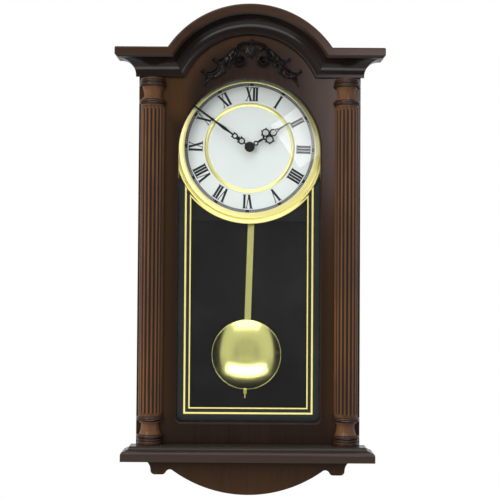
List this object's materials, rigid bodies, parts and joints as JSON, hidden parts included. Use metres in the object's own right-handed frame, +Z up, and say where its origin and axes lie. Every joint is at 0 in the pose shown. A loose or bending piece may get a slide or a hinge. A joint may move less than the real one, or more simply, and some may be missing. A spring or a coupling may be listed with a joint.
{
  "type": "wall clock",
  "caption": "Arched wooden wall clock with a hinged glazed front, fluted half columns, a round Roman dial, a carved crest and a swinging pendulum.",
  "frame": {"origin": "centre of the round hole of the hanger plate, on the wall plane at the back of the case", "axes": "+X to the right as the dial is read, +Y back towards the wall, +Z up"},
  "size_m": [0.301, 0.127, 0.5486],
  "materials": {
    "panel_wood": "satin dark walnut stain, vertical grain, lighter amber at worn edges",
    "moulding_wood": "satin dark walnut stain on turned and run mouldings",
    "column_wood": "satin dark walnut stain, fluted",
    "case_wood": "satin dark walnut stain",
    "carving_resin": "near-black glossy cast carving",
    "black_board": "flat black liner board",
    "clear_glass": "clear float glass",
    "black_paint": "black reverse paint on the glass",
    "gold_paint": "gold reverse paint on the glass",
    "white_dial": "white painted metal",
    "black_print": "black printing ink",
    "yellow_brass": "polished brass plate",
    "bob_brass": "polished pale brass",
    "plain_brass": "plain turned brass",
    "black_hand": "satin black painted sheet",
    "zinc_steel": "zinc plated steel",
    "dark_steel": "dark magnet or laminated steel",
    "movement_plastic": "fine textured black moulding",
    "gear_plastic": "natural acetal moulding",
    "coil_copper": "enamelled copper winding",
    "board_green": "green solder mask",
    "cell_sleeve": "plain metal battery sleeve",
    "cone_paper": "black pressed paper cone",
    "wire_vinyl": "vinyl insulation"
  },
  "bodies": {
    "case": {"left_side_panel": "case_wood", "right_side_panel": "case_wood", "top_panel": "case_wood", "bottom_panel": "case_wood", "back_panel": "black_board", "back_panel_screws": "zinc_steel", "hanger_plate": "zinc_steel", "hanger_screws": "zinc_steel", "dial_board": "black_board", "dial_board_screws": "zinc_steel", "dial_plate": "white_dial", "minute_track": "black_print", "numerals": "black_print", "dial_inner_ring": "yellow_brass", "bezel": "yellow_brass", "movement_front_housing": "movement_plastic", "movement_rear_cover": "movement_plastic", "mounting_nut": "plain_brass", "circuit_board": "board_green", "stepper_coil": "coil_copper", "stepper_stator": "dark_steel", "battery_cells": "cell_sleeve", "battery_contacts": "zinc_steel", "pendulum_coil": "coil_copper", "pendulum_pivot_pin": "zinc_steel", "speaker_frame": "dark_steel", "speaker_cone": "cone_paper", "speaker_wires": "wire_vinyl", "case_hinge_leaves": "plain_brass", "hinge_pins": "plain_brass", "catch_magnet": "dark_steel"},
    "door": {"door_panel": "panel_wood", "crown_moulding": "moulding_wood", "base_moulding": "moulding_wood", "left_column": "column_wood", "right_column": "column_wood", "carved_ornament": "carving_resin", "door_glass": "clear_glass", "glass_black_border": "black_paint", "glass_gold_lines": "gold_paint", "glass_clips": "zinc_steel", "door_hinge_leaves": "plain_brass", "catch_strike_plate": "zinc_steel"},
    "minute_arbor": {"center_wheel": "plain_brass", "minute_hand": "black_hand"},
    "hour_pipe": {"hour_wheel": "gear_plastic", "hour_hand": "black_hand"},
    "motion_work": {"minute_wheel": "gear_plastic"},
    "third_arbor": {"third_wheel": "gear_plastic"},
    "fourth_arbor": {"fourth_wheel": "gear_plastic"},
    "setting_knob": {"hand_set_knob": "movement_plastic"},
    "motor_rotor": {"stepper_rotor": "dark_steel"},
    "pendulum": {"pendulum_lever": "gear_plastic", "pendulum_magnet": "dark_steel", "pendulum_rod": "bob_brass"},
    "bob": {"bob_shell": "bob_brass", "bob_back_plate": "plain_brass"},
    "nut": {"rating_nut": "bob_brass"},
    "battery_door": {"battery_cover": "movement_plastic"},
    "chime_slider": {"chime_switch": "zinc_steel"}
  },
  "joints": [
    {"name": "door_hinge", "type": "hinge", "parent": "case", "child": "door", "pos_m": [0.121, -0.081, -0.197], "axis": [0, 0, 1], "range_deg": [0, 110]},
    {"name": "minute_spin", "type": "hinge", "parent": "case", "child": "minute_arbor", "pos_m": [0, -0.06, -0.076], "axis": [0, 1, 0], "continuous": true},
    {"name": "hour_spin", "type": "hinge", "parent": "case", "child": "hour_pipe", "pos_m": [0, -0.06, -0.076], "axis": [0, 1, 0], "continuous": true},
    {"name": "motion_spin", "type": "hinge", "parent": "case", "child": "motion_work", "pos_m": [0.01, -0.06, -0.076], "axis": [0, 1, 0], "continuous": true},
    {"name": "third_spin", "type": "hinge", "parent": "case", "child": "third_arbor", "pos_m": [-0.01202, -0.06, -0.06398], "axis": [0, 1, 0], "continuous": true},
    {"name": "fourth_spin", "type": "hinge", "parent": "case", "child": "fourth_arbor", "pos_m": [-0.01818, -0.06, -0.08089], "axis": [0, 1, 0], "continuous": true},
    {"name": "knob_spin", "type": "hinge", "parent": "case", "child": "setting_knob", "pos_m": [0.02, -0.06, -0.076], "axis": [0, 1, 0], "continuous": true},
    {"name": "rotor_spin", "type": "hinge", "parent": "case", "child": "motor_rotor", "pos_m": [0.01, -0.048, -0.069], "axis": [0, 1, 0], "continuous": true},
    {"name": "pendulum_swing", "type": "hinge", "parent": "case", "child": "pendulum", "pos_m": [0.0039, -0.05, -0.106], "axis": [0, 1, 0], "range_deg": [-6.67, 3.33]},
    {"name": "bob_slide", "type": "slide", "parent": "pendulum", "child": "bob", "axis": [0.0291, 0, 0.9996], "range_m": [-0.003, 0.003]},
    {"name": "nut_spin", "type": "hinge", "parent": "bob", "child": "nut", "pos_m": [-0.00344, -0.0524, -0.35789], "axis": [0.0291, 0, 0.9996], "range_deg": [-1440, 1440]},
    {"name": "battery_cover_slide", "type": "slide", "parent": "case", "child": "battery_door", "axis": [1, 0, 0], "range_m": [0, 0.058]},
    {"name": "chime_switch_slide", "type": "slide", "parent": "case", "child": "chime_slider", "axis": [1, 0, 0], "range_m": [-0.005, 0.005]}
  ],
  "couplings": [
    {"joint": "hour_spin", "follows": "minute_spin", "ratio": 0.083333},
    {"joint": "motion_spin", "follows": "minute_spin", "ratio": -0.33333},
    {"joint": "third_spin", "follows": "minute_spin", "ratio": -7.5},
    {"joint": "fourth_spin", "follows": "minute_spin", "ratio": 60},
    {"joint": "knob_spin", "follows": "minute_spin", "ratio": 1},
    {"joint": "nut_spin", "follows": "bob_slide", "rad_per_m": 8377.5}
  ]
}
